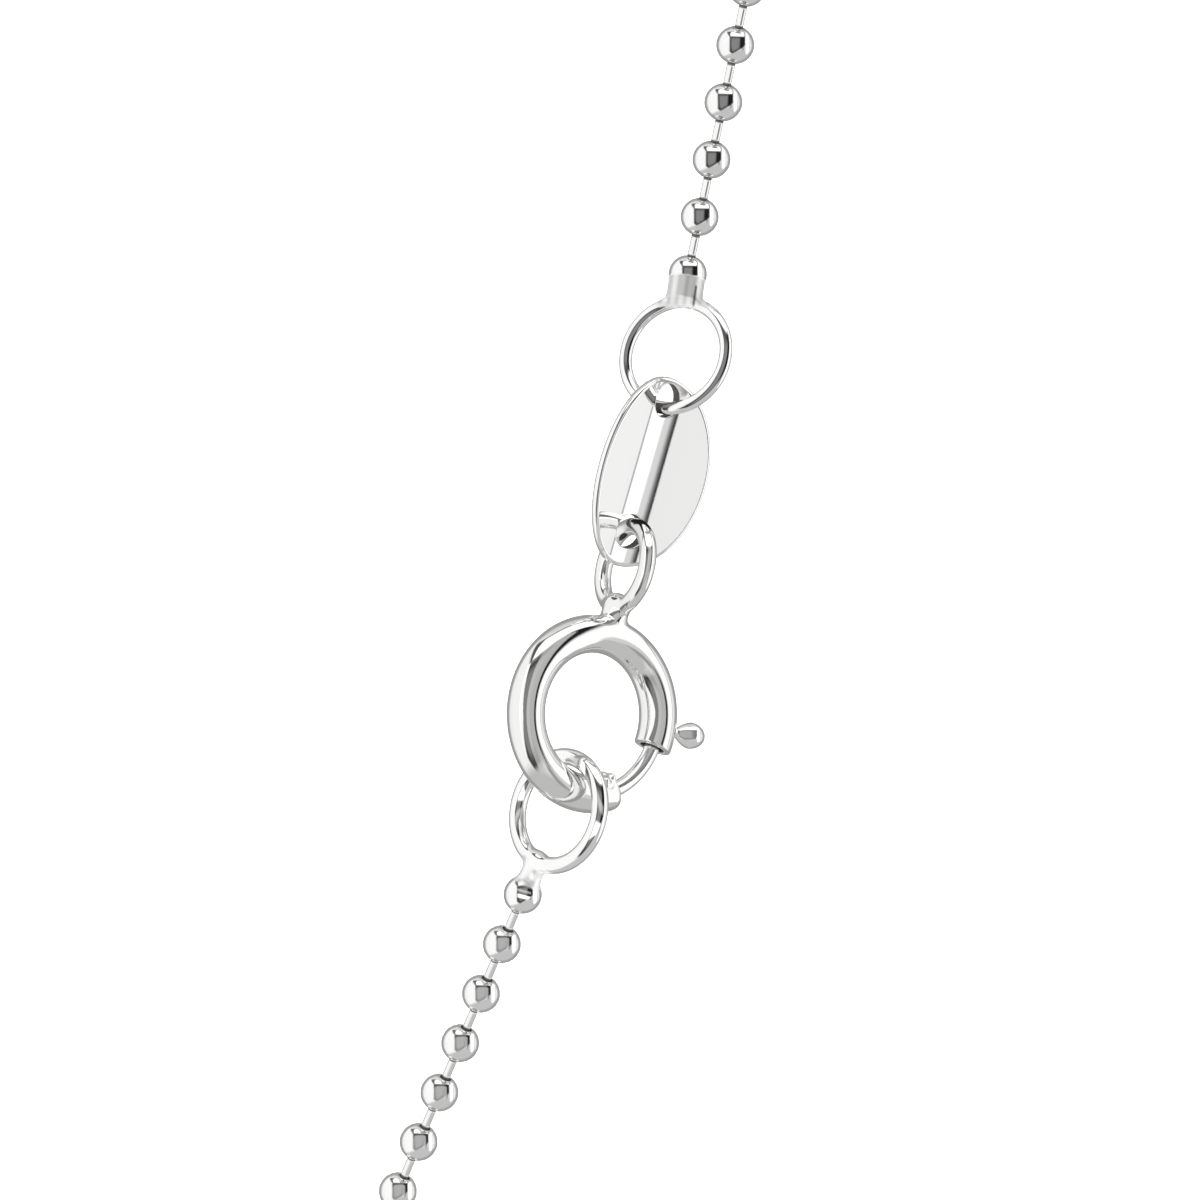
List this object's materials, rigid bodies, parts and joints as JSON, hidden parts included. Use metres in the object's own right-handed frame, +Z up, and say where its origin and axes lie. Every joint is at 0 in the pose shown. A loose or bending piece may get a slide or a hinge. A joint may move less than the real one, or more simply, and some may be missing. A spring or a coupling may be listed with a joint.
{
  "type": "ball chain necklace",
  "caption": "Fine ball chain necklace, a closed loop fastened by a spring bolt ring clasp, with end rings and an oval link tag, held up at the nape.",
  "frame": {"origin": "top of the hanging loop, at the underside of its topmost bead, where the chain rests on the back of the neck", "axes": "+Z up along the loop's length, +X across the loop towards the clasp's side, -Y towards the viewer"},
  "size_m": [0.128, 0.0077, 0.1612],
  "materials": {
    "bead_chain": "polished silver beads on fine silver pins",
    "end_rings": "polished silver, soldered to the end balls",
    "tag": "mirror-polished silver plate, plain",
    "clasp": "polished silver tube",
    "clasp_bolt": "polished silver wire and knob"
  },
  "bodies": {
    "necklace": {"neck_chain": "bead_chain", "upper_end_ring": "end_rings", "lower_end_ring": "end_rings", "oval_tag": "tag", "clasp_ring": "clasp"},
    "gate": {"clasp_bolt": "clasp_bolt"}
  },
  "joints": [
    {"name": "gate_slide", "type": "hinge", "parent": "necklace", "child": "gate", "pos_m": [0.05702, -0.0024, -0.112], "axis": [0.5678, -0.8106, 0.1429], "range_deg": [0, 44], "stiffness_Nm_per_rad": 0.00002, "springref_deg": -17.19}
  ]
}
